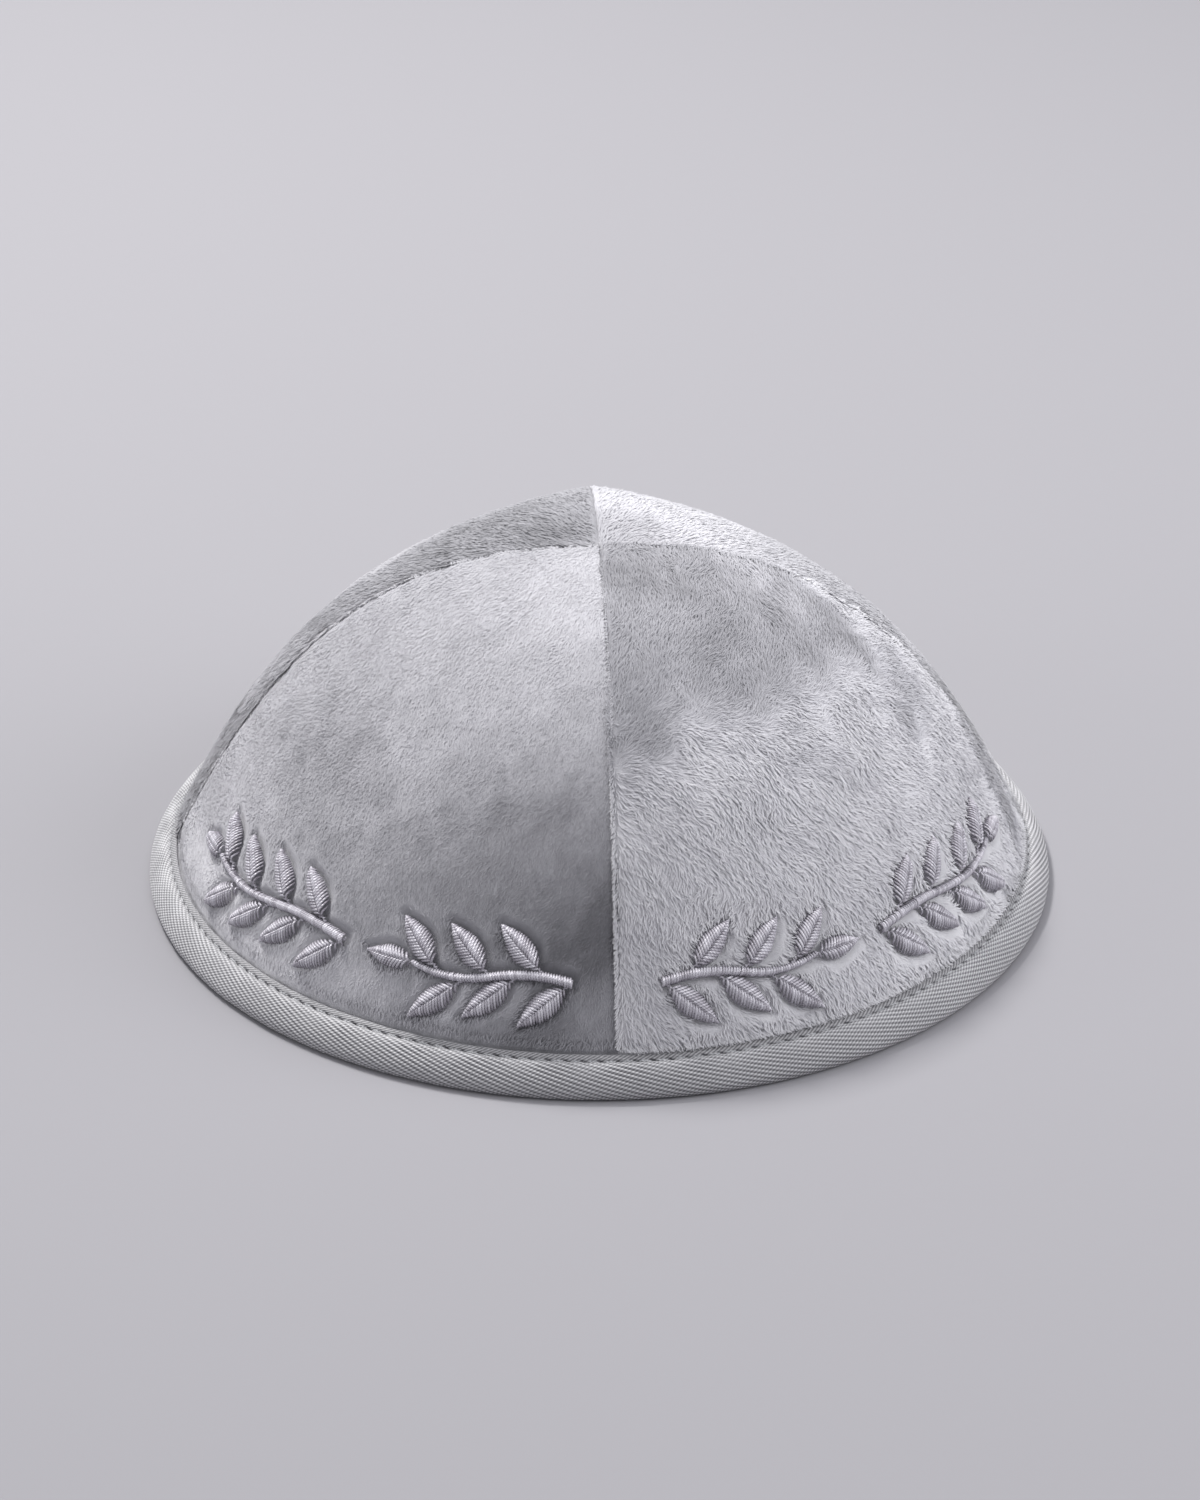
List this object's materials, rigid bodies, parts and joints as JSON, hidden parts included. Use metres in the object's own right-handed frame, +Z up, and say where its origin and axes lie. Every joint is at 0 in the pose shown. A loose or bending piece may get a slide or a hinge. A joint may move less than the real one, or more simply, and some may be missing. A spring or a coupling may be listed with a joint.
{
  "type": "kippah skullcap",
  "caption": "Round plush skullcap sewn from four gores, with a folded twill tape binding round the rim and an embroidered leaf border on the front; rests on its rim, hollow below for the head.",
  "frame": {"origin": "on the resting plane, in the middle of the rim", "axes": "+Z up through the top of the crown, -Y to the front seam, +X to the right seam as the picture shows it"},
  "size_m": [0.17, 0.17, 0.0659],
  "materials": {
    "plush": "short brushed pile",
    "tape": "twill weave",
    "thread": "satin stitch"
  },
  "bodies": {
    "root": {"branch_leaf_01": "thread", "branch_leaf_02": "thread", "branch_leaf_03": "thread", "branch_leaf_04": "thread", "branch_leaf_05": "thread", "branch_leaf_06": "thread", "branch_leaf_07": "thread", "branch_leaf_08": "thread", "branch_leaf_09": "thread", "branch_leaf_10": "thread", "branch_leaf_11": "thread", "branch_leaf_12": "thread", "branch_leaf_13": "thread", "branch_leaf_14": "thread", "branch_leaf_15": "thread", "branch_leaf_16": "thread", "branch_leaf_17": "thread", "branch_leaf_18": "thread", "branch_leaf_19": "thread", "branch_leaf_20": "thread", "branch_leaf_21": "thread", "branch_leaf_22": "thread", "branch_leaf_23": "thread", "branch_leaf_24": "thread", "branch_leaf_25": "thread", "branch_leaf_26": "thread", "branch_leaf_27": "thread", "branch_leaf_28": "thread", "branch_leaf_29": "thread", "branch_leaf_30": "thread", "branch_leaf_31": "thread", "branch_leaf_32": "thread", "branch_stem_1": "thread", "branch_stem_2": "thread", "branch_stem_3": "thread", "branch_stem_4": "thread", "panel_back_left": "plush", "panel_back_right": "plush", "panel_front_left": "plush", "panel_front_right": "plush", "rim_binding": "tape"}
  },
  "joints": []
}
